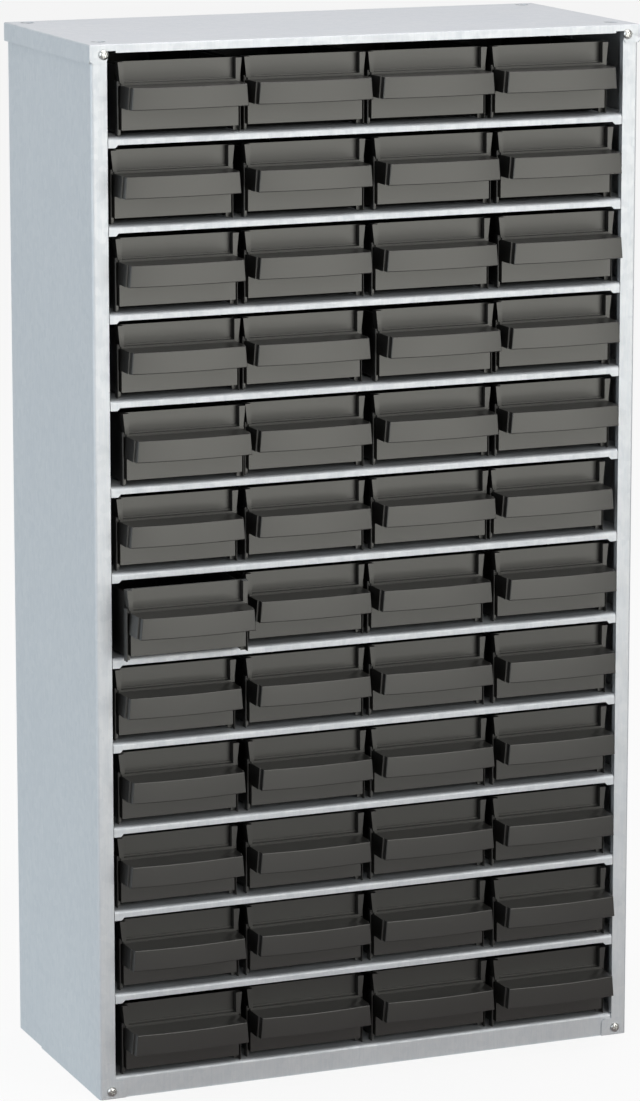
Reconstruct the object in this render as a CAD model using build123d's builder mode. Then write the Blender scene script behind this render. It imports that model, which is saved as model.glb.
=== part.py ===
from build123d import *
import os

# Parts bin cabinet: a free-standing cabinet of folded galvanised sheet steel with twelve rows of four
# small moulded plastic drawers. Sizes are in millimetres.
# X runs to the right, Y to the back and Z up. The floor is at Z = 0, and the origin lies on the floor
# under the middle of the outline, as the drawers stand here, one of them pulled out a little.

# ---------------------------------------------------------------- driving dimensions: steel cabinet
cabinet_width = 306.0  # over the top cap's side flanges
cabinet_height = 552.0
body_depth = 136.0  # steel body alone, without the handles
sheet = 0.8  # steel sheet
fold_radius = 1.6  # outside radius of the side panels' front fold
back_fold_radius = 1.2  # outside radius of the back panel's folds
lap_gap = 0.3  # room left between a shelf or tray and the wall it is welded to

rows = 12
columns = 4
bottom_floor = 12.2  # top of the bottom tray's floor, which is the lowest bay's floor
top_room = 1.4  # over the top bay, under the cap
column_margin = 1.9  # between the opening's edge and the outer column's bay

cap_side_flange = 9.8  # height of the cap's side and rear flanges
cap_front_flange = 4.4
cap_tab_width = 9.5  # corner tab of the front flange, which takes a screw
cap_tab_height = 9.6
cap_corner_radius = 2.4  # rounded lower corners of the cap's flanges and tabs
cap_relief_width = 4.5  # relief beside each corner tab
cap_relief_height = 1.0
cap_hole_radius = 3.75
cap_hole_side_inset = 10.0
cap_hole_front_inset = 15.0
cap_hole_rear_inset = 9.0

front_flange_width = 8.7  # of each side panel
foot_tab_width = 14.5  # of the side panel's tab that laps the bottom tray, from the cabinet's side
foot_tab_height = 9.5
rear_strip = 40.0  # how far the side panel stops short of the rear
rear_lap = 16.0  # how far the back panel's flange runs on inside the side panel

lip_height = 4.05  # shelf's front lip
lip_radius = 2.0
lip_tab_width = 3.8  # taller flat tab at each end of the lip
lip_tab_height = 5.5
lip_end_gap = 0.3  # between the lip's end and the side panel's flange
shelf_end_flange = 6.0
shelf_rear_flange = 6.0

tray_foot_width = 12.0  # flange that the tray stands on, folded inward at the floor

screw_head_radius = 2.6
screw_head_height = 1.8
screw_shank_radius = 1.5
screw_length = 7.0
screw_hole_clearance = 0.1
screw_side_inset = 7.4  # of all four screws, from the cabinet's side
cap_screw_drop = 5.2  # under the cabinet's top
foot_screw_rise = 4.2

# ---------------------------------------------------------------- driving dimensions: plastic drawer
front_gap = 4.0  # between two drawers' fronts
front_headroom = 7.3  # a bay is taller than a drawer's front by this much
drawer_setback = 3.2  # the closed drawer's front panel lies this far behind the steel front
running_gap = 0.3  # under the drawer
rear_clearance = 0.5  # between a closed drawer and the back panel

wall = 1.4  # plastic wall
floor_thickness = 1.6
tub_inset = 0.7  # the tub's rim is narrower than the front by this much on each side
tub_side_lean = 1.4  # each side wall draws in this much from the rim to the floor
rim_drop = 2.1  # the tub's rim lies this far under the front's top
tub_rear_lean = 2.0  # the rear wall leans back this much from bottom to top

frame_depth = 1.2  # the front frame lies this far behind the lower panel's face
panel_inset = 1.9  # the lower panel and the handle stop short of the front's sides by this much
panel_bottom = 3.0
label_height = 10.7  # label field, over the handle
label_recess = 3.9  # label field behind the ribs' faces
rib_width = 3.3  # upright rib at each side of the label field
rib_lean = 1.1  # the rib's outer edge draws in this much towards the handle
ledge_height = 0.7  # ledge at the label field's foot
ledge_depth = 0.8

handle_drop = 1.1  # the handle's top lies this far under the label field
handle_height = 11.2
handle_reach = 17.2  # from the lower panel's face to the crown of the handle
handle_bow = 2.0
handle_wall = 1.7

# How the drawers stand: a few are pulled out a little, and some sit to one side of their place.
stand_outs = {
    (7, 1): 15.0, (5, 1): 4.0, (1, 1): 3.0, (4, 3): 3.0,
    (12, 1): 3.0, (3, 1): 2.0, (11, 4): 2.0, (12, 4): 2.0,
}
side_shifts = {
    (1, 1): 1.5, (1, 3): -2.5, (1, 4): -3.5, (2, 1): -1.5, (2, 3): 1.0, (3, 4): 1.0,
    (4, 1): 1.5, (4, 2): -1.0, (4, 3): 1.0, (5, 1): 2.5, (5, 3): 1.0, (6, 4): -2.5,
    (7, 3): -2.0, (8, 1): -1.5, (8, 3): -1.0, (9, 2): 1.0, (10, 1): -1.0, (12, 3): 1.0,
}

# ---------------------------------------------------------------- places that follow from them
handle_overhang = handle_reach - drawer_setback  # closed handle in front of the steel
front_reach = handle_overhang + max(stand_outs.values())
front_y = (front_reach - body_depth) / 2  # steel front plane
rear_y = front_y + body_depth

half_width = cabinet_width / 2
under_cap = cabinet_height - sheet
side_outer = half_width - sheet  # outer face of a side panel, inside the cap's flange
side_inner = side_outer - sheet
back_flange_inner = side_inner - sheet
flange_face = front_y + sheet  # front face of the side panels' front flanges
flange_back = flange_face + sheet
opening_half = side_outer - front_flange_width
row_pitch = (under_cap - top_room - bottom_floor) / rows  # from one bay's floor to the next
column_pitch = 2 * (opening_half - column_margin) / columns
back_outer = rear_y - sheet
back_inner = back_outer - sheet
shelf_half = back_flange_inner - lap_gap
shelf_rear = back_inner - lap_gap
shelf_front = flange_back + lap_gap  # plate edge behind the side panels' flanges
shelf_top = bottom_floor + row_pitch  # lowest shelf

lip_half = opening_half - lip_end_gap

screw_x = half_width - screw_side_inset
screw_hole_radius = screw_shank_radius + screw_hole_clearance
cap_screw_z = cabinet_height - cap_screw_drop

drawer_width = column_pitch - front_gap
drawer_height = row_pitch - front_headroom
tub_top_width = drawer_width - 2 * tub_inset
tub_bottom_width = tub_top_width - 2 * tub_side_lean
tub_height = drawer_height - rim_drop
panel_width = drawer_width - 2 * panel_inset
label_bottom = drawer_height - label_height
handle_top = label_bottom - handle_drop

drawer_face = front_y + drawer_setback
tub_length = back_inner - rear_clearance - drawer_face


def top_cap():
    """Lid with flanges folded down outside the walls, and four holes near its corners."""
    with BuildPart() as cap:
        with BuildSketch(Plane.XY.offset(under_cap)):
            with Locations((0, (front_y + rear_y) / 2)):
                Rectangle(cabinet_width, body_depth)
        extrude(amount=sheet)
        # Side flanges, with a rounded lower front corner
        with BuildSketch(Plane.YZ.offset(-half_width)):
            with Locations(((front_y + rear_y) / 2, under_cap)):
                flange = Rectangle(body_depth, cap_side_flange - sheet, align=(Align.CENTER, Align.MAX))
            fillet(flange.vertices().group_by(Axis.Y)[0].sort_by(Axis.X)[0], cap_corner_radius)
        extrude(amount=sheet)
        mirror(about=Plane.YZ)
        # Front flange: a low band with a taller screw tab at each corner
        with BuildSketch(Plane.XZ.offset(-front_y)):
            with Locations((0, under_cap)):
                Rectangle(cabinet_width, cap_front_flange - sheet, align=(Align.CENTER, Align.MAX))
            with Locations(*[(s * (half_width - cap_tab_width / 2), under_cap) for s in (-1, 1)]):
                Rectangle(cap_tab_width, cap_tab_height - sheet, align=(Align.CENTER, Align.MAX))
            lowest = cabinet_height - cap_tab_height
            fillet(vertices().filter_by_position(Axis.Y, lowest - 0.1, lowest + 0.1), cap_corner_radius)
            relief_x = half_width - cap_tab_width - cap_relief_width / 2
            with Locations(*[(s * relief_x, cabinet_height - cap_front_flange) for s in (-1, 1)]):
                Rectangle(cap_relief_width, cap_relief_height, align=(Align.CENTER, Align.MIN), mode=Mode.SUBTRACT)
            with Locations(*[(s * screw_x, cap_screw_z) for s in (-1, 1)]):
                Circle(screw_hole_radius, mode=Mode.SUBTRACT)
        extrude(amount=-sheet)
        # Rear flange
        with BuildSketch(Plane.XZ.offset(-rear_y)):
            with Locations((0, under_cap)):
                Rectangle(cabinet_width, cap_side_flange - sheet, align=(Align.CENTER, Align.MAX))
        extrude(amount=sheet)
        top_edges = cap.faces().sort_by(Axis.Z)[-1].edges()
        fillet(top_edges, sheet)
        hole_front = front_y + cap_hole_front_inset
        hole_rear = rear_y - cap_hole_rear_inset
        hole_x = half_width - cap_hole_side_inset
        with Locations(*[(s * hole_x, y, cabinet_height) for s in (-1, 1) for y in (hole_front, hole_rear)]):
            Hole(cap_hole_radius, depth=2 * sheet)
    return cap.part


def side_panel(side):
    """Side wall with a folded front flange and a tab at its foot that laps the bottom tray."""
    with BuildPart() as panel:
        with BuildSketch():
            with BuildLine():
                Polyline(
                    (-side_outer, flange_face),
                    (-side_outer, rear_y - rear_strip),
                    (-side_inner, rear_y - rear_strip),
                    (-side_inner, flange_back),
                    (-opening_half, flange_back),
                    (-opening_half, flange_face),
                    close=True,
                )
            make_face()
            corners = vertices().sort_by_distance((-side_outer, flange_face))
            fillet(corners[0], fold_radius)
            chamfer(vertices().sort_by_distance((-side_inner, flange_back))[0], fold_radius - sheet)
        extrude(amount=under_cap)
        with BuildSketch(Plane.XZ.offset(-flange_face)):
            with Locations((-opening_half, 0)):
                tab_reach = foot_tab_width - front_flange_width
                tab = Rectangle(tab_reach, foot_tab_height, align=(Align.MIN, Align.MIN))
            fillet(tab.vertices().group_by(Axis.Y)[-1].sort_by(Axis.X)[-1], cap_corner_radius)
        extrude(amount=-sheet)
        # Screw holes: through the flange under the cap's tab, and through the foot
        with BuildSketch(Plane.XZ.offset(-flange_face)):
            with Locations(*[(-screw_x, z) for z in (cap_screw_z, foot_screw_rise)]):
                Circle(screw_hole_radius)
        extrude(amount=-sheet, mode=Mode.SUBTRACT)
    return panel.part if side < 0 else panel.part.mirror(Plane.YZ)


def back_panel():
    """Back sheet with long side flanges that run forward inside the side panels."""
    flange_front = rear_y - rear_strip - rear_lap
    with BuildPart() as back:
        with BuildSketch():
            with BuildLine():
                Polyline(
                    (-side_inner, flange_front),
                    (-side_inner, back_outer),
                    (side_inner, back_outer),
                    (side_inner, flange_front),
                    (back_flange_inner, flange_front),
                    (back_flange_inner, back_inner),
                    (-back_flange_inner, back_inner),
                    (-back_flange_inner, flange_front),
                    close=True,
                )
            make_face()
            outer_corners = vertices().group_by(Axis.Y)[-1]
            inner_corners = vertices().group_by(Axis.Y)[-2]
            fillet(outer_corners, back_fold_radius)
            chamfer(inner_corners, back_fold_radius - sheet)
        extrude(amount=under_cap)
    return back.part


def shelf():
    """One shelf: a plate folded down all round, with a rounded front lip inside the opening."""
    with BuildPart() as plate:
        # Middle stretch with the folded lip
        with BuildSketch(Plane.YZ.offset(-lip_half)):
            with BuildLine():
                Polyline(
                    (flange_face, shelf_top - lip_tab_height),
                    (flange_face, shelf_top),
                    (shelf_rear, shelf_top),
                    (shelf_rear, shelf_top - sheet),
                    (flange_back, shelf_top - sheet),
                    (flange_back, shelf_top - lip_tab_height),
                    close=True,
                )
            make_face()
            fillet(vertices().sort_by_distance((flange_face, shelf_top))[0], lip_radius)
            chamfer(vertices().sort_by_distance((flange_back, shelf_top - sheet))[0], lip_radius - sheet)
        extrude(amount=2 * lip_half)
        # The lip is lower between its end tabs, with a short ramp at each
        tab_inner = lip_half - lip_tab_width
        ramp_inner = tab_inner - (lip_tab_height - lip_height)
        with BuildSketch(Plane.XZ.offset(-flange_face)):
            with BuildLine():
                Polyline(
                    (-ramp_inner, shelf_top - lip_height),
                    (ramp_inner, shelf_top - lip_height),
                    (tab_inner, shelf_top - lip_tab_height),
                    (-tab_inner, shelf_top - lip_tab_height),
                    close=True,
                )
            make_face()
        extrude(amount=-2 * sheet, mode=Mode.SUBTRACT)
        # Wings that reach behind the side panels' front flanges
        wing = shelf_half - lip_half
        with BuildSketch(Plane.XY.offset(shelf_top - sheet)):
            with Locations(*[(s * (lip_half + wing / 2), shelf_front) for s in (-1, 1)]):
                Rectangle(wing, shelf_rear - shelf_front, align=(Align.CENTER, Align.MIN))
        extrude(amount=sheet)
        # Flanges at the ends and the rear, which carry the welds
        with BuildSketch(Plane.XY.offset(shelf_top - sheet)):
            with Locations(*[(s * (shelf_half - sheet / 2), shelf_front) for s in (-1, 1)]):
                Rectangle(sheet, shelf_rear - shelf_front, align=(Align.CENTER, Align.MIN))
        extrude(amount=sheet - shelf_end_flange)
        with BuildSketch(Plane.XY.offset(shelf_top - sheet)):
            with Locations((0, shelf_rear)):
                Rectangle(2 * shelf_half, sheet, align=(Align.CENTER, Align.MAX))
        extrude(amount=sheet - shelf_rear_flange)
    return plate.part


def bottom_tray():
    """Bottom tray: the lowest bay's floor on folded sides, with feet folded inward at the floor."""
    with BuildPart() as tray:
        with BuildSketch(Plane.YZ.offset(-shelf_half)):
            with BuildLine():
                Polyline(
                    (flange_back, 0),
                    (flange_back, bottom_floor),
                    (shelf_rear, bottom_floor),
                    (shelf_rear, 0),
                    (shelf_rear - tray_foot_width, 0),
                    (shelf_rear - tray_foot_width, sheet),
                    (shelf_rear - sheet, sheet),
                    (shelf_rear - sheet, bottom_floor - sheet),
                    (flange_back + sheet, bottom_floor - sheet),
                    (flange_back + sheet, sheet),
                    (flange_back + tray_foot_width, sheet),
                    (flange_back + tray_foot_width, 0),
                    close=True,
                )
            make_face()
            fillet(vertices().sort_by_distance((flange_back, bottom_floor))[0], lip_radius)
            inner_corner = (flange_back + sheet, bottom_floor - sheet)
            chamfer(vertices().sort_by_distance(inner_corner)[0], lip_radius - sheet)
        extrude(amount=2 * shelf_half)
        with BuildSketch(Plane.XY.offset(bottom_floor)):
            with Locations(*[(s * (shelf_half - sheet / 2), flange_back + lip_radius) for s in (-1, 1)]):
                Rectangle(sheet, shelf_rear - flange_back - lip_radius, align=(Align.CENTER, Align.MIN))
        extrude(amount=-bottom_floor)
        with BuildSketch(Plane.XZ.offset(-flange_back)):
            with Locations(*[(s * screw_x, foot_screw_rise) for s in (-1, 1)]):
                Circle(screw_hole_radius)
        extrude(amount=-sheet, mode=Mode.SUBTRACT)
    return tray.part


def screw(x, seat_y, z):
    """A screw driven in from the front, whose head sits on the sheet at seat_y."""
    with BuildPart() as fastener:
        with BuildSketch(Plane.XZ.offset(-seat_y)):
            with Locations((x, z)):
                Circle(screw_shank_radius)
        extrude(amount=-(screw_length - screw_head_height))
        with BuildSketch(Plane.XZ.offset(-seat_y)):
            with Locations((x, z)):
                Circle(screw_head_radius)
        extrude(amount=screw_head_height)
    return fastener.part


def tub(half_top, half_bottom, low, front, rear_low, rear_high):
    """A block with the tub's taper from top to bottom and its leaning rear."""
    with BuildPart() as block:
        with BuildSketch(Plane.XZ.offset(-front)):
            with BuildLine():
                Polyline(
                    (-half_bottom, low),
                    (half_bottom, low),
                    (half_top, tub_height),
                    (-half_top, tub_height),
                    close=True,
                )
            make_face()
        extrude(amount=-(rear_high - front))
        with BuildSketch(Plane.YZ.offset(-half_top)):
            with BuildLine():
                Polyline(
                    (rear_low, low),
                    (rear_high, tub_height),
                    (rear_high, low),
                    close=True,
                )
            make_face()
        extrude(amount=2 * half_top, mode=Mode.SUBTRACT)
    return block.part


def drawer():
    """One moulded drawer. The lower panel's face is at Y = 0 and the underside at Z = 0."""
    front_back = label_recess + wall  # rear face of the front wall
    field_width = drawer_width - 2 * rib_width
    rear_low = tub_length - tub_rear_lean
    side_lean = (tub_top_width - tub_bottom_width) / 2 / tub_height
    floor_half = tub_bottom_width / 2 + side_lean * floor_thickness - wall
    rim_half = tub_top_width / 2 - wall
    outer = tub(tub_top_width / 2, tub_bottom_width / 2, 0, frame_depth, rear_low, tub_length)
    inner = tub(rim_half, floor_half, floor_thickness, front_back, rear_low - wall, tub_length - wall)
    with BuildPart() as body:
        add(outer)
        # Front frame: a flat plate up to the label field, and over it the label field's own block
        with BuildSketch(Plane.XZ.offset(-frame_depth)):
            Rectangle(drawer_width, label_bottom, align=(Align.CENTER, Align.MIN))
        extrude(amount=-(front_back - frame_depth))
        with BuildSketch(Plane.XZ):
            with BuildLine():
                Polyline(
                    (-drawer_width / 2 + rib_lean, label_bottom),
                    (drawer_width / 2 - rib_lean, label_bottom),
                    (drawer_width / 2, drawer_height),
                    (-drawer_width / 2, drawer_height),
                    close=True,
                )
            make_face()
        extrude(amount=-front_back)
        # The label field lies back between two upright ribs
        with BuildSketch(Plane.XZ):
            with Locations((0, label_bottom)):
                Rectangle(field_width, drawer_height - label_bottom, align=(Align.CENTER, Align.MIN))
        extrude(amount=-label_recess, mode=Mode.SUBTRACT)
        with BuildSketch(Plane.XZ.offset(-label_recess)):
            with Locations((0, label_bottom)):
                Rectangle(field_width, ledge_height, align=(Align.CENTER, Align.MIN))
        extrude(amount=ledge_depth)
        # Hollow of the tub
        add(inner, mode=Mode.SUBTRACT)
        # Raised lower panel
        with BuildSketch(Plane.XZ):
            with Locations((0, panel_bottom)):
                Rectangle(panel_width, label_bottom - panel_bottom, align=(Align.CENTER, Align.MIN))
        extrude(amount=-frame_depth)
        # Handle: a bowed face, a flat top and closed ends
        handle_bottom = handle_top - handle_height
        half = panel_width / 2
        with BuildSketch(Plane.XY.offset(handle_bottom)):
            with BuildLine():
                corner_y = handle_bow - handle_reach
                Polyline((-half, corner_y), (-half, frame_depth), (half, frame_depth), (half, corner_y))
                ThreePointArc((-half, corner_y), (0, -handle_reach), (half, corner_y))
            make_face()
        extrude(amount=handle_height)
        # Pocket for the fingertips, open underneath, which follows the bow with one bend
        half -= handle_wall
        with BuildSketch(Plane.XY.offset(handle_bottom)):
            with BuildLine():
                corner_y += handle_wall
                crown_y = handle_wall - handle_reach
                Polyline((-half, 0), (-half, corner_y), (0, crown_y), (half, corner_y), (half, 0), close=True)
            make_face()
        extrude(amount=handle_height - handle_wall, mode=Mode.SUBTRACT)
    return body.part


def write(shape, name):
    """Label a finished piece and write its STEP file."""
    shape.label = name
    export_step(shape, f"parts/{name}.step")


os.makedirs("parts", exist_ok=True)
write(top_cap(), "top_cap")
write(side_panel(-1), "left_side_panel")
write(side_panel(1), "right_side_panel")
write(back_panel(), "back_panel")
write(bottom_tray(), "bottom_tray")

lowest_shelf = shelf()
shelves = [lowest_shelf.moved(Location((0, 0, row_pitch * k))) for k in range(rows - 1)]
write(Compound(children=shelves), "shelves")

screws = [screw(s * screw_x, front_y, cap_screw_z) for s in (-1, 1)]
screws += [screw(s * screw_x, flange_face, foot_screw_rise) for s in (-1, 1)]
write(Compound(children=screws), "front_screws")

one_drawer = drawer()
for row in range(1, rows + 1):
    bay_floor = bottom_floor + row_pitch * (rows - row)
    for column in range(1, columns + 1):
        place = (row, column)
        x = column_pitch * (column - (columns + 1) / 2) + side_shifts.get(place, 0)
        y = drawer_face - stand_outs.get(place, 0)
        at = Location((x, y, bay_floor + running_gap))
        write(one_drawer.moved(at), f"drawer_row{row:02d}_col{column}")
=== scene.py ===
import math

import bmesh
import bpy
from mathutils import Matrix, Vector


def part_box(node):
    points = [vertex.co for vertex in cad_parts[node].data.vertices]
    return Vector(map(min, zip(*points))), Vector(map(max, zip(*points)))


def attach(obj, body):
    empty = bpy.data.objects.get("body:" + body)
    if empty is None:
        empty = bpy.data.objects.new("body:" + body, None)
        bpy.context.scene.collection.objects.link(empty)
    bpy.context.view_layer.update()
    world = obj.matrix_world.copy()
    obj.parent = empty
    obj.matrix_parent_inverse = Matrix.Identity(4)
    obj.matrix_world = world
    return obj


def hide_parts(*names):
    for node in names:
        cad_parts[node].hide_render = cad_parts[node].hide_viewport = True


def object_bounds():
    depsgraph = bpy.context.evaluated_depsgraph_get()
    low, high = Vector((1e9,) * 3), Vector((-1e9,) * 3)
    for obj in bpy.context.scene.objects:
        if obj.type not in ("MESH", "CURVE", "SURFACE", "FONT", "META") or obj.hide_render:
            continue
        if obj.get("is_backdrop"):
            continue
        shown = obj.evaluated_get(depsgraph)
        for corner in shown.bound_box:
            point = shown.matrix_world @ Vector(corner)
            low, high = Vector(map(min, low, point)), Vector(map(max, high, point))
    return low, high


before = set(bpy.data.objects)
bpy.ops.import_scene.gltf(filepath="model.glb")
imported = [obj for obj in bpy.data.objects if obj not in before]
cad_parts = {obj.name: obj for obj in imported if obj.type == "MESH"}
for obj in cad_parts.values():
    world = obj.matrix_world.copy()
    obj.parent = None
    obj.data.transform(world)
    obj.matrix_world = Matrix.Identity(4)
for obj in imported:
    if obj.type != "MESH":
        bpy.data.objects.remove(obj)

# A parts bin cabinet of folded galvanised sheet with 48 moulded plastic drawers. Sizes below are in
# millimetres unless a name says otherwise, and Blender's own units are metres.

cad_low, cad_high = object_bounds()
MM = 0.001

ROWS = 12
COLUMNS = 4

# ------------------------------------------------------------------ a drawer's tub
DRAWER_WIDTH = 66.8
DRAWER_HEIGHT = 37.5
TUB_LENGTH = 130.7
WALL = 1.4
FLOOR_THICKNESS = 1.6
TUB_TOP_WIDTH = 65.4
TUB_BOTTOM_WIDTH = 62.6
TUB_HEIGHT = 35.4
TUB_REAR_LEAN = 2.0
TUB_CORNER = 2.2          # radius of the tub's corners, outside and inside
DIVIDER_SLOT = 1.8        # between two guide ribs for a divider plate
DIVIDER_RIB = 1.2
DIVIDER_RIB_DROP = 0.5    # the guide ribs end this far under the tub's rim

# ------------------------------------------------------------------ its front
FRAME_DEPTH = 1.2         # the front frame lies behind the lower panel's face
FRAME_RIM = 0.6           # thin outer rim of the frame, outside the groove round the lower panel
FRAME_ROUND = 0.5         # rounding of the frame's outer edges
FRAME_TOP_OVERLAP = 1.0   # the frame reaches this far up behind the label field
PANEL_WIDTH = 63.0
PANEL_BOTTOM = 3.0
PANEL_GROOVE_DEPTH = 3.0  # behind the frame's face
PANEL_GROOVE_DROP = 1.5   # the groove ends this far under the label field
SCOOP_HEIGHT = 4.6        # the tub's floor rises to this height at the front,
SCOOP_REAR = 17.0         # from here, and its underside with it
SCOOP_BURIED = 1.0        # height at which the raised floor starts inside the flat one
SCOOP_SIDE_OVERLAP = 0.3
UNDERCUT_HALF = 30.4      # half of the width of the hollow under the raised floor
UNDERCUT_REAR = 15.0
LABEL_BOTTOM = 26.8
LABEL_RECESS = 3.9
RIB_WIDTH = 3.3
RIB_LEAN = 1.1
RIB_SLOT = 0.9            # slot behind each rib's inner edge, which takes a label
RIB_UNDERCUT = 1.2
LEDGE_HEIGHT = 0.7
LEDGE_DEPTH = 0.8
LEDGE_BURIED = 1.0        # the ledge reaches this far down into the plate under it

# ------------------------------------------------------------------ its handle
HANDLE_TOP = 25.7
HANDLE_HEIGHT = 11.2
HANDLE_REACH = 17.2
HANDLE_BOW = 2.0
HANDLE_WALL = 1.7
HANDLE_DRAFT = 0.9        # each end draws in this much towards the top
HANDLE_ROUND = 0.5        # rounding of the grip's edges
HANDLE_END_STEP = 0.75    # the closed ends are wider than the grip's face by this much a side
HANDLE_FACE_DEPTH = 3.8   # the grip's face stands in front of the closed ends
HANDLE_BURIED = 0.1       # the grip's edges this near its buried back stay square
BOW_STEPS = 12

# ------------------------------------------------------------------ steel sheet
SHEET = 0.8
CAP_FOLD = 1.1            # outside radius of the cap's folds
FLANGE_INNER = 143.5      # inner edge of the side panels' front flanges, from the middle
FLANGE_RETURN = 2.8       # depth of the strip folded back along that edge
RETURN_GAP = 0.3          # between that strip and each shelf
RETURN_OVERLAP = 0.2
BOTTOM_FLOOR = 12.2
ROW_PITCH = 44.8

# ------------------------------------------------------------------ screws
SCREW_HEAD_RADIUS = 2.6
SCREW_HEAD_HEIGHT = 1.8
# Radius, and distance below the crown, of the points that make the head's rounded top.
HEAD_CROWN = ((0.0, 0.0), (0.9, 0.05), (1.7, 0.32), (2.3, 0.75), (SCREW_HEAD_RADIUS, 1.3))
SCREW_SHANK_RADIUS = 1.45
SCREW_SHANK_LENGTH = 5.2
SCREW_TIP_RADIUS = 0.5
SCREW_TIP_LENGTH = 1.2
RECESS_WIDTH = 0.75
RECESS_SPAN = 2.9
RECESS_DEPTH = 1.0
TURN_STEPS = 40
UPPER_SCREW_TURNS = (20, 65)    # left and right, in degrees: each screw stops where it stops
LOWER_SCREW_TURNS = (35, 80)

# ------------------------------------------------------------------ edges and how forms meet
PLASTIC_EDGE = 0.28       # rounding of the moulding's edges
STEEL_EDGE = 0.14         # rounding of the sheet's sheared edges
SCREW_EDGE = 0.08
OVERLAP = 0.5             # a form that is added reaches this far into the one that it joins
OUTSIDE = 1.0             # a form that is cut out starts this far outside
SAME_POINT = 0.002        # corners closer than this are one
SAME_PLANE = 0.01         # corners closer than this to an outer plane lie on it
FLAT_ANGLE = math.radians(0.5)      # faces that meet at less than this are one
ROUNDED_ANGLE = math.radians(30)    # edges that turn more than this are rounded
CRISP_ANGLE = math.radians(50)      # edges that turn more than this aren't shaded smooth

# ------------------------------------------------------------------ sizes of the surface patterns
SPANGLE_SIZE = 3.5        # one crystal of the zinc
ZINC_CLOUD_SIZE = 60.0    # dull and less dull areas of the zinc
ROLLING_MARK_SIZE = 0.9   # about 0.1 mm on a real sheet, and coarser here so that it shows
ROLLING_STRETCH = 0.09    # the marks change this much more slowly up the sheet than across it
ZINC_GRIT_SIZE = 0.9      # about 0.2 mm on a real sheet, and coarser here so that it shows
PLASTIC_CLOUD_SIZE = 22.0     # flow marks of the moulding
PLASTIC_GRAIN_SIZE = 0.8  # about 0.3 mm in a spark-eroded mould, and coarser here so that it shows
PLATING_STAIN_SIZE = 2.0
PATTERN_SHIFT = 7.0       # metres over which the drawers' places in the pattern are spread

# ------------------------------------------------------------------ studio, in metres
FLOOR_FRONT = -0.95       # the board ends this far in front
FLOOR_BACK = 9.0
FLOOR_HALF = 6.0
FLOOR_GLOW = 0.88         # share of pure white that the camera sees in the floor
FLOOR_BESIDE = 0.03       # the ground counts as beside the object from this far behind its front


# ------------------------------------------------------------------ meshes
def linked(name, data):
    """A new object in the scene that shows a mesh, a lamp or a camera."""
    made = bpy.data.objects.new(name, data)
    bpy.context.scene.collection.objects.link(made)
    return made


def stretch(outline, axis, start, end):
    """A closed solid: an outline of points, in the plane across an axis, drawn along that axis."""
    def place(point, along):
        a, b = point
        at = {"x": (along, a, b), "y": (a, along, b), "z": (a, b, along)}[axis]
        return Vector(at) * MM

    solid = bmesh.new()
    near = [solid.verts.new(place(point, start)) for point in outline]
    far = [solid.verts.new(place(point, end)) for point in outline]
    solid.faces.new(near)
    solid.faces.new(far[::-1])
    count = len(outline)
    for i in range(count):
        j = (i + 1) % count
        solid.faces.new((near[j], near[i], far[i], far[j]))
    bmesh.ops.recalc_face_normals(solid, faces=solid.faces)
    return solid


def rectangle(low, high):
    return [(low[0], low[1]), (high[0], low[1]), (high[0], high[1]), (low[0], high[1])]


def round_edges(solid, edges, radius, segments=3, clamp=False):
    bmesh.ops.bevel(
        solid,
        geom=edges,
        offset=radius * MM,
        offset_type="OFFSET",
        segments=segments,
        profile=0.5,
        affect="EDGES",
        clamp_overlap=clamp,
    )


def join_flat_faces(solid):
    """Makes one corner of those that meet, and one face of those that lie in one plane."""
    bmesh.ops.remove_doubles(solid, verts=solid.verts, dist=SAME_POINT * MM)
    bmesh.ops.dissolve_limit(
        solid, angle_limit=FLAT_ANGLE, verts=solid.verts, edges=solid.edges
    )


def tub_block(half_bottom, half_top, low, high, front, rear_low, rear_high):
    """The tub's tapered block, with its upright and lower edges rounded."""
    solid = bmesh.new()
    rings = []
    for half, z, rear in ((half_bottom, low, rear_low), (half_top, high, rear_high)):
        corners = rectangle((-half, front), (half, rear))
        rings.append([solid.verts.new(Vector((x, y, z)) * MM) for x, y in corners])
    lower, upper = rings
    solid.faces.new(lower)
    solid.faces.new(upper[::-1])
    for i in range(4):
        j = (i + 1) % 4
        solid.faces.new((lower[j], lower[i], upper[i], upper[j]))
    bmesh.ops.recalc_face_normals(solid, faces=solid.faces)
    top = max(v.co.z for v in solid.verts)
    rounded = [e for e in solid.edges if min(v.co.z for v in e.verts) < top - MM]
    round_edges(solid, rounded, TUB_CORNER)
    return solid


def as_object(solid, name):
    mesh = bpy.data.meshes.new(name)
    solid.to_mesh(mesh)
    solid.free()
    return linked(name, mesh)


def with_modifiers(holder):
    """The mesh that an object has once its modifiers are applied."""
    bpy.context.view_layer.update()
    graph = bpy.context.evaluated_depsgraph_get()
    return bpy.data.meshes.new_from_object(holder.evaluated_get(graph))


def combine(body, tool, operation):
    """Adds a second solid to a body or cuts it out, and frees that solid."""
    other = as_object(tool, "tool")
    change = body.modifiers.new("combine", "BOOLEAN")
    change.operation = operation
    change.solver = "EXACT"
    change.object = other
    shape = with_modifiers(body)
    body.modifiers.clear()
    body.data = shape
    bpy.data.objects.remove(other)


def even_shading(mesh):
    """Lets the broad faces set the shading, so that they look flat up to their rounded edges."""
    holder = linked("holder", mesh)
    weighing = holder.modifiers.new("weighing", "WEIGHTED_NORMAL")
    weighing.keep_sharp = True
    weighing.weight = 100
    shape = with_modifiers(holder)
    bpy.data.objects.remove(holder)
    return shape


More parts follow.
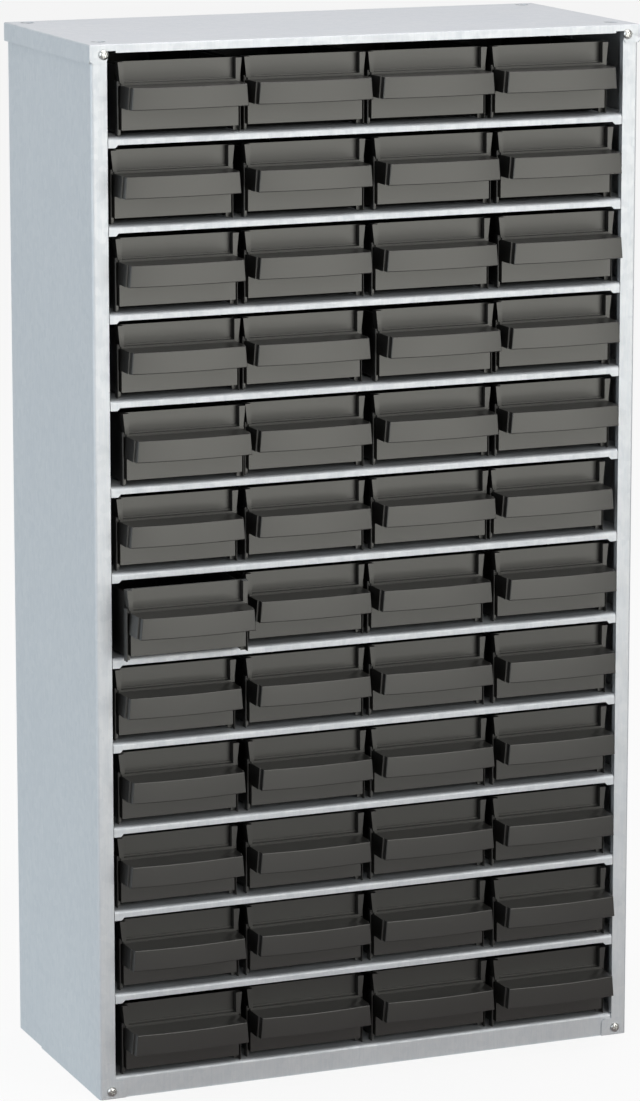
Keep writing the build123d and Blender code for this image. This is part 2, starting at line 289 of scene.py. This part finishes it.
def soften(mesh, width):
    """Joins what lies in one plane, rounds every sharp edge and shades the rest smooth."""
    solid = bmesh.new()
    solid.from_mesh(mesh)
    join_flat_faces(solid)
    sharp = [e for e in solid.edges if e.is_manifold and e.calc_face_angle() > ROUNDED_ANGLE]
    round_edges(solid, sharp, width, segments=2, clamp=True)
    for face in solid.faces:
        face.smooth = True
    solid.to_mesh(mesh)
    solid.free()
    mesh.set_sharp_from_angle(angle=CRISP_ANGLE)
    return even_shading(mesh)


def add_copy(group, solid):
    """Adds a solid's faces to a group of solids and frees it."""
    placed = bpy.data.meshes.new("placed")
    solid.to_mesh(placed)
    solid.free()
    group.from_mesh(placed)
    bpy.data.meshes.remove(placed)


def round_the_fold(mesh, radius):
    """Rounds the edges all round the cap's top, where the sheet is folded down."""
    solid = bmesh.new()
    solid.from_mesh(mesh)
    join_flat_faces(solid)
    top = max(v.co.z for v in solid.verts)
    low_x = min(v.co.x for v in solid.verts)
    high_x = max(v.co.x for v in solid.verts)
    low_y = min(v.co.y for v in solid.verts)
    high_y = max(v.co.y for v in solid.verts)

    def on_the_border(point):
        at_side = min(point.x - low_x, high_x - point.x) < SAME_PLANE * MM
        at_end = min(point.y - low_y, high_y - point.y) < SAME_PLANE * MM
        return top - point.z < SAME_PLANE * MM and (at_side or at_end)

    folds = [
        e for e in solid.edges
        if all(on_the_border(v.co) for v in e.verts) and len(e.link_faces) == 2
    ]
    round_edges(solid, folds, radius, segments=5)
    solid.to_mesh(mesh)
    solid.free()


def add_flange_return(mesh, side):
    """Adds the narrow strip that is folded back along the inner edge of a side panel's front
    flange. It is cut away at each shelf."""
    edges = sorted((side * FLANGE_INNER, side * (FLANGE_INNER + SHEET)))
    flange_back = min(v.co.y for v in mesh.vertices) / MM + SHEET
    solid = bmesh.new()
    solid.from_mesh(mesh)
    for bay in range(ROWS):
        low = BOTTOM_FLOOR + ROW_PITCH * bay + RETURN_GAP
        high = BOTTOM_FLOOR + ROW_PITCH * (bay + 1) - SHEET - RETURN_GAP
        if bay == ROWS - 1:
            high = low + ROW_PITCH - RETURN_GAP
        outline = rectangle(
            (edges[0], flange_back - RETURN_OVERLAP), (edges[1], flange_back + FLANGE_RETURN)
        )
        add_copy(solid, stretch(outline, "z", low, high))
    solid.to_mesh(mesh)
    solid.free()


def bowed_outline(half, crown, back):
    """The handle seen from above: straight sides and a front that bows out to the crown."""
    radius = (half ** 2 + HANDLE_BOW ** 2) / (2 * HANDLE_BOW)
    centre_y = radius - crown
    outline = [(-half, back)]
    reach = math.asin(half / radius)
    for step in range(BOW_STEPS + 1):
        turn = -reach + 2 * reach * step / BOW_STEPS
        outline.append((radius * math.sin(turn), centre_y - radius * math.cos(turn)))
    outline.append((half, back))
    return outline


def handle_block(half, crown, back, low, high):
    """A block of the handle: bowed in front and drawn in towards its top."""
    solid = stretch(bowed_outline(half, crown, back), "z", low, high)
    for point in solid.verts:
        if point.co.z > (low + high) / 2 * MM:
            draft = HANDLE_DRAFT * MM * abs(point.co.x) / (half * MM)
            point.co.x -= math.copysign(draft, point.co.x)
    return solid


def frame_and_label_field(body):
    """Adds the plate behind the lower panel and the label field between its two ribs."""
    half_frame = DRAWER_WIDTH / 2
    half_field = half_frame - RIB_WIDTH
    front_back = LABEL_RECESS + WALL

    outline = rectangle((-half_frame, 0), (half_frame, LABEL_BOTTOM + FRAME_TOP_OVERLAP))
    plate = stretch(outline, "y", FRAME_DEPTH, front_back)
    front_edges = [
        e for e in plate.edges
        if all(v.co.y < (FRAME_DEPTH + SAME_PLANE) * MM for v in e.verts)
        and min(v.co.z for v in e.verts) < MM
    ]
    round_edges(plate, front_edges, FRAME_ROUND)
    combine(body, plate, "UNION")
    label_block = [
        (-half_frame + RIB_LEAN, LABEL_BOTTOM),
        (half_frame - RIB_LEAN, LABEL_BOTTOM),
        (half_frame, DRAWER_HEIGHT),
        (-half_frame, DRAWER_HEIGHT),
    ]
    combine(body, stretch(label_block, "y", 0, front_back), "UNION")

    above = DRAWER_HEIGHT + OUTSIDE
    field = rectangle((-half_field, LABEL_BOTTOM), (half_field, above))
    combine(body, stretch(field, "y", -OUTSIDE, LABEL_RECESS), "DIFFERENCE")
    half_slot = half_field + RIB_UNDERCUT
    slot = rectangle((-half_slot, LABEL_BOTTOM), (half_slot, above))
    combine(body, stretch(slot, "y", LABEL_RECESS - RIB_SLOT, LABEL_RECESS), "DIFFERENCE")
    ledge = rectangle(
        (-half_field, LABEL_BOTTOM - LEDGE_BURIED), (half_field, LABEL_BOTTOM + LEDGE_HEIGHT)
    )
    ledge_front = LABEL_RECESS - LEDGE_DEPTH
    combine(body, stretch(ledge, "y", ledge_front, LABEL_RECESS + OVERLAP), "UNION")


def lower_panel(body, floor_half):
    """Raises the tub's floor at the front, hollows its underside and sets the lower panel in a
    deep groove in front of it."""
    front_back = LABEL_RECESS + WALL
    inside_front = front_back - OVERLAP
    scoop = [
        (inside_front, SCOOP_BURIED),
        (inside_front, SCOOP_HEIGHT),
        (front_back, SCOOP_HEIGHT),
        (SCOOP_REAR, FLOOR_THICKNESS),
        (SCOOP_REAR, SCOOP_BURIED),
    ]
    half_scoop = floor_half + SCOOP_SIDE_OVERLAP
    combine(body, stretch(scoop, "x", -half_scoop, half_scoop), "UNION")
    undercut = [
        (-OUTSIDE, -OUTSIDE),
        (-OUTSIDE, PANEL_BOTTOM),
        (inside_front, PANEL_BOTTOM),
        (UNDERCUT_REAR, 0),
        (UNDERCUT_REAR, -OUTSIDE),
    ]
    combine(body, stretch(undercut, "x", -UNDERCUT_HALF, UNDERCUT_HALF), "DIFFERENCE")

    half_groove = DRAWER_WIDTH / 2 - FRAME_RIM
    half_panel = PANEL_WIDTH / 2
    under_panel = rectangle((-half_groove, -OUTSIDE), (half_groove, PANEL_BOTTOM))
    combine(body, stretch(under_panel, "y", -OUTSIDE, inside_front), "DIFFERENCE")
    groove_top = LABEL_BOTTOM - PANEL_GROOVE_DROP
    groove = rectangle((-half_groove, FRAME_RIM), (half_groove, groove_top))
    combine(body, stretch(groove, "y", 0, FRAME_DEPTH + PANEL_GROOVE_DEPTH), "DIFFERENCE")
    panel = rectangle((-half_panel, PANEL_BOTTOM), (half_panel, LABEL_BOTTOM))
    combine(body, stretch(panel, "y", 0, inside_front), "UNION")


def handle(body):
    """Adds the bowed handle: closed ends, a grip that is a little narrower, and a pocket under it."""
    bottom = HANDLE_TOP - HANDLE_HEIGHT
    half_panel = PANEL_WIDTH / 2
    inside_front = LABEL_RECESS + WALL - OVERLAP
    ends = handle_block(
        half_panel + HANDLE_END_STEP,
        HANDLE_REACH - HANDLE_FACE_DEPTH,
        inside_front,
        bottom,
        HANDLE_TOP,
    )
    combine(body, ends, "UNION")
    grip_back = -HANDLE_REACH / 2
    grip = handle_block(half_panel, HANDLE_REACH, grip_back, bottom, HANDLE_TOP)
    outer = [
        e for e in grip.edges
        if e.calc_face_angle() > ROUNDED_ANGLE
        and max(v.co.y for v in e.verts) < (grip_back - HANDLE_BURIED) * MM
    ]
    round_edges(grip, outer, HANDLE_ROUND)
    combine(body, grip, "UNION")
    pocket = handle_block(
        half_panel - HANDLE_WALL,
        HANDLE_REACH - HANDLE_WALL,
        0,
        bottom - OUTSIDE,
        HANDLE_TOP - HANDLE_WALL,
    )
    combine(body, pocket, "DIFFERENCE")


def divider_ribs(body, floor_half, rim_half):
    """Adds two pairs of ribs half-way along the tub, which guide a divider plate."""
    middle = (LABEL_RECESS + WALL + TUB_LENGTH) / 2
    foot = FLOOR_THICKNESS - WALL / 2
    top = TUB_HEIGHT - DIVIDER_RIB_DROP
    for side in (-1, 1):
        for start in (middle - DIVIDER_SLOT / 2 - DIVIDER_RIB, middle + DIVIDER_SLOT / 2):
            rib = [
                (side * (floor_half + WALL / 2), foot),
                (side * (rim_half + WALL / 2), top),
                (side * (rim_half - DIVIDER_RIB), top),
                (side * (floor_half - DIVIDER_RIB), foot),
            ]
            combine(body, stretch(rib, "y", start, start + DIVIDER_RIB), "UNION")


def drawer_mesh():
    """One drawer as moulded, with its lower panel's face at Y = 0 and its underside at Z = 0."""
    front_back = LABEL_RECESS + WALL
    rear_low = TUB_LENGTH - TUB_REAR_LEAN
    side_lean = (TUB_TOP_WIDTH - TUB_BOTTOM_WIDTH) / 2 / TUB_HEIGHT
    floor_half = TUB_BOTTOM_WIDTH / 2 + side_lean * FLOOR_THICKNESS - WALL
    rim_half = TUB_TOP_WIDTH / 2 - WALL

    outer = tub_block(
        TUB_BOTTOM_WIDTH / 2,
        TUB_TOP_WIDTH / 2,
        0,
        TUB_HEIGHT,
        FRAME_DEPTH + OVERLAP,
        rear_low,
        TUB_LENGTH,
    )
    body = as_object(outer, "drawer")
    frame_and_label_field(body)
    hollow = tub_block(
        floor_half,
        rim_half + side_lean,
        FLOOR_THICKNESS,
        TUB_HEIGHT + OUTSIDE,
        front_back,
        rear_low - WALL,
        TUB_LENGTH - WALL,
    )
    combine(body, hollow, "DIFFERENCE")
    lower_panel(body, floor_half)
    handle(body)
    divider_ribs(body, floor_half, rim_half)
    mesh = body.data
    bpy.data.objects.remove(body)
    return soften(mesh, PLASTIC_EDGE)


def one_screw():
    """A screw with a rounded pan head and a cross recess, with the head's seat at Y = 0."""
    profile = [(radius, drop - SCREW_HEAD_HEIGHT) for radius, drop in HEAD_CROWN]
    profile += [
        (SCREW_HEAD_RADIUS, 0.0),
        (SCREW_SHANK_RADIUS, 0.0),
        (SCREW_SHANK_RADIUS, SCREW_SHANK_LENGTH - SCREW_TIP_LENGTH),
        (SCREW_TIP_RADIUS, SCREW_SHANK_LENGTH),
        (0.0, SCREW_SHANK_LENGTH),
    ]
    turned = bmesh.new()
    rings = []
    for radius, along in profile:
        steps = 1 if radius == 0 else TURN_STEPS
        ring = []
        for step in range(steps):
            turn = 2 * math.pi * step / steps
            at = Vector((radius * math.cos(turn), along, radius * math.sin(turn))) * MM
            ring.append(turned.verts.new(at))
        rings.append(ring)
    for near, far in zip(rings, rings[1:]):
        for step in range(TURN_STEPS):
            following = (step + 1) % TURN_STEPS
            if len(near) == 1:
                turned.faces.new((near[0], far[step], far[following]))
            elif len(far) == 1:
                turned.faces.new((near[step], far[0], near[following]))
            else:
                turned.faces.new((near[step], far[step], far[following], near[following]))
    bmesh.ops.recalc_face_normals(turned, faces=turned.faces)
    body = as_object(turned, "screw")
    half_width = RECESS_WIDTH / 2
    half_span = RECESS_SPAN / 2
    for half_x, half_z in ((half_width, half_span), (half_span, half_width)):
        slot = rectangle((-half_x, -half_z), (half_x, half_z))
        recess_end = RECESS_DEPTH - SCREW_HEAD_HEIGHT
        combine(body, stretch(slot, "y", -SCREW_HEAD_HEIGHT - OUTSIDE, recess_end), "DIFFERENCE")
    mesh = body.data
    bpy.data.objects.remove(body)
    return mesh


def screws_mesh(places):
    """The same screw at each of the given places, in metres, turned by the given degrees."""
    one = one_screw()
    group = bmesh.new()
    for seat, turn in places:
        copy = bmesh.new()
        copy.from_mesh(one)
        turning = Matrix.Rotation(math.radians(turn), 3, "Y")
        bmesh.ops.rotate(copy, verts=copy.verts, cent=(0, 0, 0), matrix=turning)
        bmesh.ops.translate(copy, verts=copy.verts, vec=seat)
        add_copy(group, copy)
    mesh = bpy.data.meshes.new("cross_recess_screws")
    group.to_mesh(mesh)
    group.free()
    return soften(mesh, SCREW_EDGE)


# ------------------------------------------------------------------ materials
def colour(code):
    """An sRGB hex colour as linear red, green, blue and alpha."""
    linear = []
    for start in (1, 3, 5):
        value = int(code[start:start + 2], 16) / 255
        linear.append(value / 12.92 if value <= 0.04045 else ((value + 0.055) / 1.055) ** 2.4)
    return (*linear, 1.0)


def add(tree, kind, inputs=None, **settings):
    """Adds a node. An input is given a value or, where it is another node's output, a link."""
    made = tree.nodes.new(kind)
    for name, value in settings.items():
        setattr(made, name, value)
    for name, value in (inputs or {}).items():
        if isinstance(value, bpy.types.NodeSocket):
            tree.links.new(value, made.inputs[name])
        else:
            made.inputs[name].default_value = value
    return made


def new_material(name):
    material = bpy.data.materials.new(name)
    material.use_nodes = True
    material.node_tree.nodes.clear()
    return material, material.node_tree


def per_metre(size_mm):
    """A pattern's scale from the size of one of its features in millimetres."""
    return 1 / (size_mm * MM)


def blend_colours(tree, share, first, second):
    mixed = add(tree, "ShaderNodeMix", data_type="RGBA")
    for socket, value in (("Factor_Float", share), ("A_Color", first), ("B_Color", second)):
        target = next(s for s in mixed.inputs if s.identifier == socket)
        if isinstance(value, bpy.types.NodeSocket):
            tree.links.new(value, target)
        else:
            target.default_value = value
    return next(s for s in mixed.outputs if s.identifier == "Result_Color")


def spread(tree, value, low, high):
    """A pattern's 0 to 1 taken to low to high."""
    limits = {"Value": value, "To Min": low, "To Max": high}
    return add(tree, "ShaderNodeMapRange", limits).outputs["Result"]


def galvanised_steel():
    """Cold-rolled sheet, hot-dip galvanised: a dull, cool grey metal with a faint crystal spangle and
    the fine upright marks of rolling and handling."""
    material, tree = new_material("galvanised_steel")
    where = add(tree, "ShaderNodeTexCoord").outputs["Object"]
    spangle = add(
        tree, "ShaderNodeTexVoronoi", {"Vector": where, "Scale": per_metre(SPANGLE_SIZE)}
    ).outputs["Color"]
    crystals = add(tree, "ShaderNodeSeparateColor", {"Color": spangle}).outputs["Red"]
    clouds = add(
        tree,
        "ShaderNodeTexNoise",
        {"Vector": where, "Scale": per_metre(ZINC_CLOUD_SIZE), "Detail": 3.0, "Roughness": 0.55},
    ).outputs["Fac"]
    upright = add(
        tree, "ShaderNodeMapping", {"Vector": where, "Scale": (1.0, 1.0, ROLLING_STRETCH)}
    ).outputs["Vector"]
    rolling = add(
        tree,
        "ShaderNodeTexNoise",
        {"Vector": upright, "Scale": per_metre(ROLLING_MARK_SIZE), "Detail": 3.0, "Roughness": 0.6},
    ).outputs["Fac"]
    grit = add(
        tree,
        "ShaderNodeTexNoise",
        {"Vector": where, "Scale": per_metre(ZINC_GRIT_SIZE), "Detail": 2.0},
    ).outputs["Fac"]
    tone = blend_colours(tree, clouds, colour("#d0d3d5"), colour("#d7d9da"))
    tone = blend_colours(tree, spread(tree, crystals, 0.0, 0.10), tone, colour("#b3bcc3"))
    streaks = add(
        tree,
        "ShaderNodeMapRange",
        {"Value": rolling, "From Min": 0.35, "From Max": 0.7, "To Max": 0.22},
    ).outputs["Result"]
    tone = blend_colours(tree, streaks, tone, colour("#aeb9c2"))
    rough = spread(tree, crystals, 0.57, 0.65)
    height = add(
        tree,
        "ShaderNodeMath",
        {0: spread(tree, rolling, 0.0, 0.5), 1: spread(tree, grit, 0.0, 0.5)},
        operation="ADD",
    ).outputs["Value"]
    bump = add(
        tree, "ShaderNodeBump", {"Height": height, "Strength": 0.12, "Distance": 0.05 * MM}
    ).outputs["Normal"]
    shader = add(
        tree,
        "ShaderNodeBsdfPrincipled",
        {"Base Color": tone, "Metallic": 0.8, "Roughness": rough, "Normal": bump},
    )
    add(tree, "ShaderNodeOutputMaterial", {"Surface": shader.outputs["BSDF"]})
    return material


def conductive_plastic():
    """Injection-moulded conductive polystyrene, black with carbon: its fronts throw back a broad soft
    sheen, so that they look grey towards a bright room, while faces turned away stay almost black."""
    material, tree = new_material("conductive_plastic")
    where = add(tree, "ShaderNodeTexCoord").outputs["Object"]
    # Each drawer takes its own place in the pattern, so that no two are alike.
    chance = add(tree, "ShaderNodeObjectInfo").outputs["Random"]
    offset = add(
        tree, "ShaderNodeMath", {0: chance, 1: PATTERN_SHIFT}, operation="MULTIPLY"
    ).outputs["Value"]
    moved = add(
        tree, "ShaderNodeVectorMath", {0: where, 1: offset}, operation="ADD"
    ).outputs["Vector"]
    clouds = add(
        tree,
        "ShaderNodeTexNoise",
        {"Vector": moved, "Scale": per_metre(PLASTIC_CLOUD_SIZE), "Detail": 3.0, "Roughness": 0.5},
    ).outputs["Fac"]
    grain = add(
        tree,
        "ShaderNodeTexNoise",
        {"Vector": moved, "Scale": per_metre(PLASTIC_GRAIN_SIZE), "Detail": 2.0},
    ).outputs["Fac"]
    bump = add(
        tree, "ShaderNodeBump", {"Height": grain, "Strength": 0.3, "Distance": 0.04 * MM}
    ).outputs["Normal"]
    shader = add(
        tree,
        "ShaderNodeBsdfPrincipled",
        {
            "Base Color": blend_colours(tree, clouds, colour("#171615"), colour("#1c1b1a")),
            "Roughness": spread(tree, clouds, 0.34, 0.39),
            "IOR": 1.72,    # polystyrene alone has 1.59, and with carbon it reflects more
            "Specular Tint": colour("#fffff9"),
            "Normal": bump,
        },
    )
    add(tree, "ShaderNodeOutputMaterial", {"Surface": shader.outputs["BSDF"]})
    return material


def zinc_plate():
    """Bright zinc plating on a cold-headed screw: a pale, slightly warm metal, smoother than the
    sheet."""
    material, tree = new_material("zinc_plate")
    where = add(tree, "ShaderNodeTexCoord").outputs["Object"]
    stains = add(
        tree,
        "ShaderNodeTexNoise",
        {"Vector": where, "Scale": per_metre(PLATING_STAIN_SIZE), "Detail": 3.0},
    ).outputs["Fac"]
    tone = blend_colours(tree, stains, colour("#c4c4bf"), colour("#dcdcd8"))
    rough = spread(tree, stains, 0.22, 0.36)
    shader = add(
        tree,
        "ShaderNodeBsdfPrincipled",
        {"Base Color": tone, "Metallic": 1.0, "Roughness": rough},
    )
    add(tree, "ShaderNodeOutputMaterial", {"Surface": shader.outputs["BSDF"]})
    return material


def studio_floor():
    """A matt white board. To the camera it runs into the white backdrop, and in reflections it glows
    as the cool, even ground behind the object, with painted shade that darkens it close in front of
    the object in place of the object's shadow."""
    material, tree = new_material("studio_floor")
    where = add(tree, "ShaderNodeNewGeometry").outputs["Position"]
    forward = add(tree, "ShaderNodeSeparateXYZ", {"Vector": where}).outputs["Y"]
    # Painted shade: in reflections the ground darkens from #d3d4d6 to #857e80 towards the object's
    # front, standing in for its shadow.
    painted_shade_nearness = add(
        tree,
        "ShaderNodeMapRange",
        {"Value": forward, "From Min": FLOOR_FRONT, "From Max": cad_low.y},
    ).outputs["Result"]
    beside = add(
        tree, "ShaderNodeMath", {0: forward, 1: cad_low.y + FLOOR_BESIDE}, operation="GREATER_THAN"
    ).outputs["Value"]
    ground = blend_colours(tree, painted_shade_nearness, colour("#d3d4d6"), colour("#857e80"))
    ground = blend_colours(tree, beside, ground, colour("#d8e2e8"))
    board = add(tree, "ShaderNodeBsdfDiffuse", {"Color": colour("#d9d9d6")}).outputs["BSDF"]
    rays = add(tree, "ShaderNodeLightPath").outputs
    shown = blend_colours(tree, rays["Is Camera Ray"], ground, colour("#ffffff"))
    glow = add(tree, "ShaderNodeEmission", {"Color": shown, "Strength": 1.0}).outputs["Emission"]
    mirrored = add(
        tree,
        "ShaderNodeMath",
        {0: rays["Is Glossy Ray"], 1: rays["Is Transmission Ray"]},
        operation="MAXIMUM",
    ).outputs["Value"]
    seen = add(
        tree, "ShaderNodeMath", {0: rays["Is Camera Ray"], 1: FLOOR_GLOW}, operation="MULTIPLY"
    ).outputs["Value"]
    share = add(
        tree, "ShaderNodeMath", {0: seen, 1: mirrored}, operation="MAXIMUM"
    ).outputs["Value"]
    mixed = add(tree, "ShaderNodeMixShader", {0: share, 1: board, 2: glow})
    add(tree, "ShaderNodeOutputMaterial", {"Surface": mixed.outputs["Shader"]})
    return material


STEEL = galvanised_steel()
PLASTIC = conductive_plastic()
ZINC = zinc_plate()


def one_material(mesh, material):
    mesh.materials.clear()
    mesh.materials.append(material)


def mount(piece, body, node):
    """Lets a piece ride a body in place of a plain node."""
    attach(piece, body)
    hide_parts(node)


# ------------------------------------------------------------------ steel sheets
STEEL_NODES = (
    "top_cap", "left_side_panel", "right_side_panel", "back_panel", "bottom_tray", "shelves"
)
for node_name in STEEL_NODES:
    sheet_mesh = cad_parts[node_name].data.copy()
    if node_name == "top_cap":
        round_the_fold(sheet_mesh, CAP_FOLD)
    if node_name == "left_side_panel":
        add_flange_return(sheet_mesh, -1)
    if node_name == "right_side_panel":
        add_flange_return(sheet_mesh, 1)
    sheet_mesh = soften(sheet_mesh, STEEL_EDGE)
    node_low, node_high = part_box(node_name)
    for point in sheet_mesh.vertices:
        point.co = [min(max(a, low), high) for a, low, high in zip(point.co, node_low, node_high)]
    sheet_mesh.name = f"{node_name}_sheet"
    one_material(sheet_mesh, STEEL)
    mount(linked(f"{node_name}_sheet", sheet_mesh), "cabinet", node_name)

# ------------------------------------------------------------------ drawers
drawer_shape = drawer_mesh()
drawer_shape.name = "drawer_moulding"
one_material(drawer_shape, PLASTIC)
for row in range(1, ROWS + 1):
    for column in range(1, COLUMNS + 1):
        node_name = f"drawer_row{row:02d}_col{column}"
        low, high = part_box(node_name)
        piece = linked(f"{node_name}_moulding", drawer_shape)
        piece.location = ((low.x + high.x) / 2, low.y + HANDLE_REACH * MM, low.z)
        mount(piece, node_name, node_name)

# ------------------------------------------------------------------ screws
cap_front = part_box("top_cap")[0].y
panel_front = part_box("left_side_panel")[0].y
screws_low, screws_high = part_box("front_screws")
screw_x = screws_high.x - SCREW_HEAD_RADIUS * MM
upper_z = screws_high.z - SCREW_HEAD_RADIUS * MM
lower_z = screws_low.z + SCREW_HEAD_RADIUS * MM
screw_places = [
    (Vector((-screw_x, cap_front, upper_z)), UPPER_SCREW_TURNS[0]),
    (Vector((screw_x, cap_front, upper_z)), UPPER_SCREW_TURNS[1]),
    (Vector((-screw_x, panel_front, lower_z)), LOWER_SCREW_TURNS[0]),
    (Vector((screw_x, panel_front, lower_z)), LOWER_SCREW_TURNS[1]),
]
screw_shapes = screws_mesh(screw_places)
one_material(screw_shapes, ZINC)
mount(linked("cross_recess_screws", screw_shapes), "cabinet", "front_screws")

# ------------------------------------------------------------------ floor
floor_mesh = bpy.data.meshes.new("floor")
floor_corners = rectangle((-FLOOR_HALF, FLOOR_FRONT), (FLOOR_HALF, FLOOR_BACK))
floor_mesh.from_pydata([(x, y, 0) for x, y in floor_corners], [], [(0, 1, 2, 3)])
floor_mesh.materials.append(studio_floor())
floor = linked("floor", floor_mesh)
floor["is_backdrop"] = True

# ------------------------------------------------------------------ camera
PHOTO_HEIGHT = 1101       # in pixels, as are the focal length and the row below
FOCAL_PIXELS = 4572.363
CENTRE_ROW = 450.0        # row of the picture that the camera's axis meets
CAMERA_YAW = 0.387        # to the right, in radians
CAMERA_PITCH = -0.185
CAMERA_PLACE = (-0.908348, -2.212238, 0.773533)
camera_data = bpy.data.cameras.new("camera")
camera = linked("camera", camera_data)
aim = Vector((
    math.sin(CAMERA_YAW) * math.cos(CAMERA_PITCH),
    math.cos(CAMERA_YAW) * math.cos(CAMERA_PITCH),
    math.sin(CAMERA_PITCH),
))
camera.location = CAMERA_PLACE
camera.rotation_mode = "QUATERNION"
camera.rotation_quaternion = aim.to_track_quat("-Z", "Y")
camera_data.lens = FOCAL_PIXELS / PHOTO_HEIGHT * camera_data.sensor_width
camera_data.shift_y = (CENTRE_ROW - PHOTO_HEIGHT / 2) / PHOTO_HEIGHT
camera_data.clip_start = 0.05
camera_data.clip_end = 50
bpy.context.scene.camera = camera


# ------------------------------------------------------------------ lights
def softbox(name, place, target, size, brightness, tint):
    """A rectangular lamp of an even brightness, turned towards a point. Sizes are in metres."""
    width, height = size
    lamp = bpy.data.lights.new(name, "AREA")
    lamp.shape = "RECTANGLE"
    lamp.size = width
    lamp.size_y = height
    lamp.energy = brightness * math.pi * width * height
    lamp.color = colour(tint)[:3]
    made = linked(name, lamp)
    made.location = place
    made.rotation_mode = "QUATERNION"
    made.rotation_quaternion = (Vector(target) - Vector(place)).to_track_quat("-Z", "Y")
    made.visible_camera = False


FRONT_MIDDLE = (0.0, -0.05, 0.3)
MIDDLE = (0.0, 0.0, 0.3)
softbox("low_front_softbox", (1.2, -3.2, -0.75), FRONT_MIDDLE, (3.0, 0.9), 3.2, "#fffefa")
softbox("front_softbox", (1.2, -3.2, 0.5), FRONT_MIDDLE, (3.0, 1.6), 2.0, "#fffefa")
softbox("upper_front_softbox", (0.9, -2.9, 1.8), FRONT_MIDDLE, (3.0, 0.9), 3.3, "#ffffff")
softbox("high_front_softbox", (0.2, -1.2, 2.3), MIDDLE, (2.4, 1.0), 2.0, "#ffffff")
softbox("overhead_softbox", (0.0, 0.3, 2.6), MIDDLE, (2.4, 1.2), 3.4, "#fff9fb")
softbox("left_softbox", (-2.6, -0.9, 1.2), MIDDLE, (3.0, 2.4), 1.8, "#ecf5ff")


def studio_world():
    """A room that is brightest behind the object and to its left, with a dimmer front and ceiling."""
    world = bpy.data.worlds.new("studio")
    world.use_nodes = True
    tree = world.node_tree
    tree.nodes.clear()
    direction = add(tree, "ShaderNodeTexCoord").outputs["Generated"]
    towards = add(
        tree,
        "ShaderNodeVectorMath",
        {0: direction, 1: (-0.55, 0.835, 0.0)},
        operation="DOT_PRODUCT",
    ).outputs["Value"]
    bright_side = add(
        tree,
        "ShaderNodeMapRange",
        {"Value": towards, "From Min": -0.2, "From Max": 0.6},
        interpolation_type="SMOOTHSTEP",
    ).outputs["Result"]
    rise = add(tree, "ShaderNodeSeparateXYZ", {"Vector": direction}).outputs["Z"]
    ceiling = add(
        tree,
        "ShaderNodeMapRange",
        {"Value": rise, "From Min": 0.28, "From Max": 0.55},
        interpolation_type="SMOOTHSTEP",
    ).outputs["Result"]
    room = blend_colours(tree, bright_side, colour("#959595"), colour("#d3dbe0"))
    room = blend_colours(tree, ceiling, room, colour("#9b9a9b"))
    seen = add(tree, "ShaderNodeLightPath").outputs["Is Camera Ray"]
    shown = blend_colours(tree, seen, room, colour("#ffffff"))
    background = add(tree, "ShaderNodeBackground", {"Color": shown, "Strength": 1.0})
    add(tree, "ShaderNodeOutputWorld", {"Surface": background.outputs["Background"]})
    return world


bpy.context.scene.world = studio_world()
bpy.context.scene.view_settings.view_transform = "Standard"

low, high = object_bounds()
